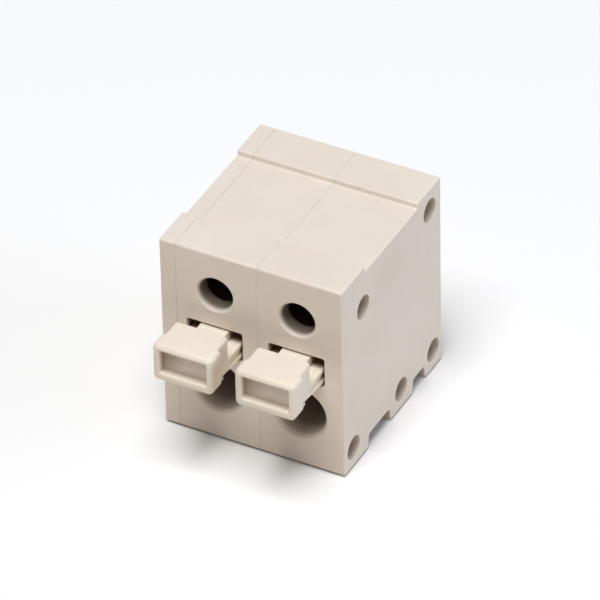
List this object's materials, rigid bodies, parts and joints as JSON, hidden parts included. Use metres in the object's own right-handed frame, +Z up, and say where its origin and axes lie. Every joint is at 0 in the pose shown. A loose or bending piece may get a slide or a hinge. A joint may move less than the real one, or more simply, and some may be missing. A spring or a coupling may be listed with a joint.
{
  "type": "pcb terminal block",
  "caption": "Spring-clamp terminal block for a circuit board, with push-buttons, round wire entries and test holes.",
  "frame": {"origin": "on the board plane under the middle of the body: the feet stand at z = 0 and the solder pins reach below it", "axes": "+Z up from the board, -Y out of the wire entries, +X towards the side with the five sockets"},
  "size_m": [0.011, 0.0155, 0.0161],
  "materials": {
    "housing": "moulded beige nylon, faint satin",
    "button": "moulded pale beige nylon, satin",
    "contact": "tin plated, satin",
    "spring": "rolled stainless spring strip"
  },
  "bodies": {
    "block": {"end_plate": "housing", "module_housing_1": "housing", "module_housing_2": "housing", "contact_bar_1": "contact", "contact_bar_2": "contact", "clamp_spring_1": "spring", "clamp_spring_2": "spring"},
    "button_1": {"push_button_1": "button"},
    "button_2": {"push_button_2": "button"}
  },
  "joints": [
    {"name": "button_1_press", "type": "slide", "parent": "block", "child": "button_1", "axis": [0, 1, 0], "range_m": [0, 0.00135], "stiffness_N_per_m": 1500, "deforming": ["clamp_spring_1"]},
    {"name": "button_2_press", "type": "slide", "parent": "block", "child": "button_2", "axis": [0, 1, 0], "range_m": [0, 0.00135], "stiffness_N_per_m": 1500, "deforming": ["clamp_spring_2"]}
  ]
}
